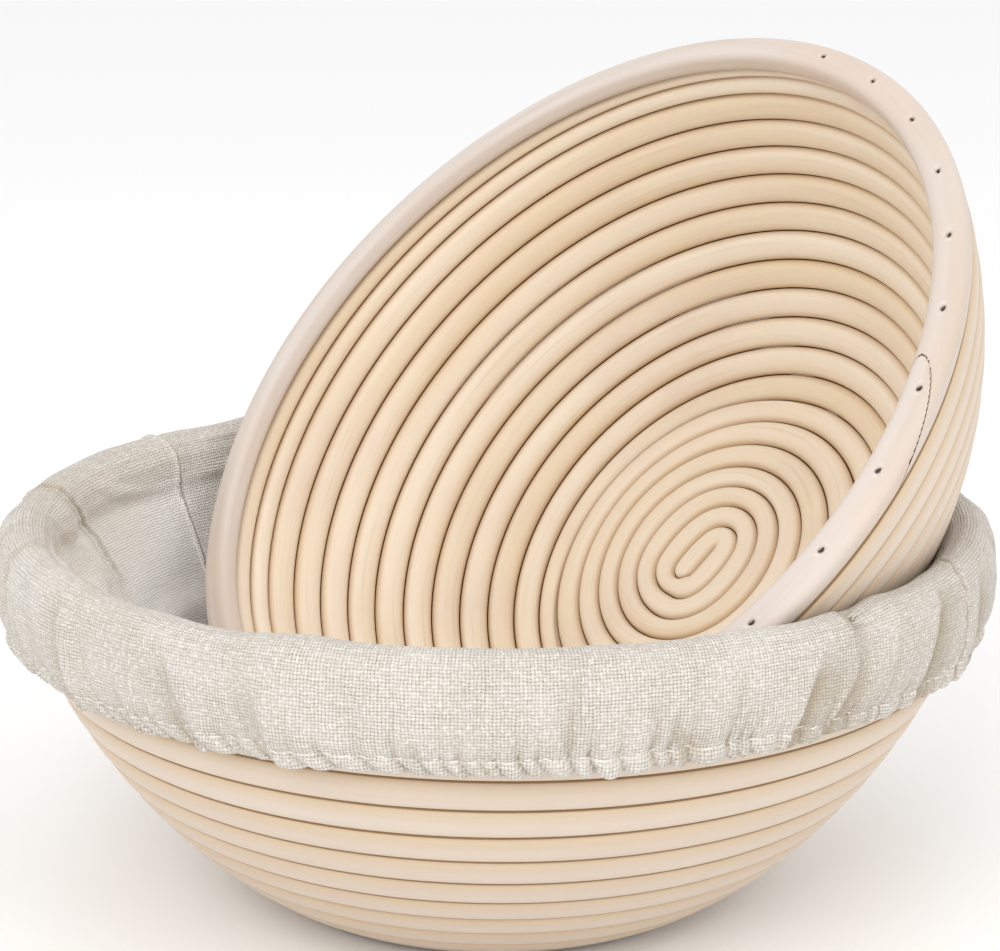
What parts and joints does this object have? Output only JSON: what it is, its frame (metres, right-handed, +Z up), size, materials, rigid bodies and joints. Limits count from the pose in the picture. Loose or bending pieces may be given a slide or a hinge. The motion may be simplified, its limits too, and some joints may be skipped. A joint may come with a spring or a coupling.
{
  "type": "banneton basket",
  "caption": "Round coiled-cane proofing basket with an elasticated linen liner, and a slightly smaller bare basket nested leaning in it, for shaping and proving bread dough.",
  "frame": {"origin": "middle of the lower basket's flat base, on the surface that it stands on", "axes": "+Z up along the lower basket's axis, -Y towards the viewer, +X to the viewer's right; the second basket leans towards -X and -Y"},
  "size_m": [0.2528, 0.2528, 0.2115],
  "materials": {
    "cane": "peeled rattan core, matt",
    "rim_cane": "peeled rattan core, smooth",
    "brad": "dull wire",
    "linen": "natural plain-weave linen",
    "elastic": "white flat elastic"
  },
  "bodies": {
    "lower_basket": {"lower_coil_cane_1": "cane", "lower_coil_cane_2": "cane", "lower_coil_cane_3": "cane", "lower_rim_cane": "rim_cane", "lower_brad_1": "brad", "lower_brad_2": "brad", "lower_brad_3": "brad", "lower_brad_4": "brad", "lower_brad_5": "brad", "lower_brad_6": "brad", "lower_brad_7": "brad", "lower_brad_8": "brad", "lower_brad_9": "brad", "lower_brad_10": "brad"},
    "liner": {"liner_back_panel": "linen", "liner_front_panel": "linen", "liner_skirt": "linen", "liner_hem_channel": "linen", "liner_elastic_band": "elastic"},
    "second_basket": {"second_coil_cane_1": "cane", "second_coil_cane_2": "cane", "second_coil_cane_3": "cane", "second_rim_cane": "rim_cane", "second_brad_1": "brad", "second_brad_2": "brad", "second_brad_3": "brad", "second_brad_4": "brad", "second_brad_5": "brad", "second_brad_6": "brad", "second_brad_7": "brad", "second_brad_8": "brad", "second_brad_9": "brad", "second_brad_10": "brad"}
  },
  "joints": [
    {"name": "liner_lift", "type": "slide", "parent": "lower_basket", "child": "liner", "axis": [0, 0, 1], "range_m": [0, 0.15], "deforming": ["liner_skirt", "liner_hem_channel", "liner_elastic_band"]},
    {"name": "second_basket_lift", "type": "slide", "parent": "liner", "child": "second_basket", "axis": [0, 0, 1], "range_m": [0, 0.15]}
  ]
}
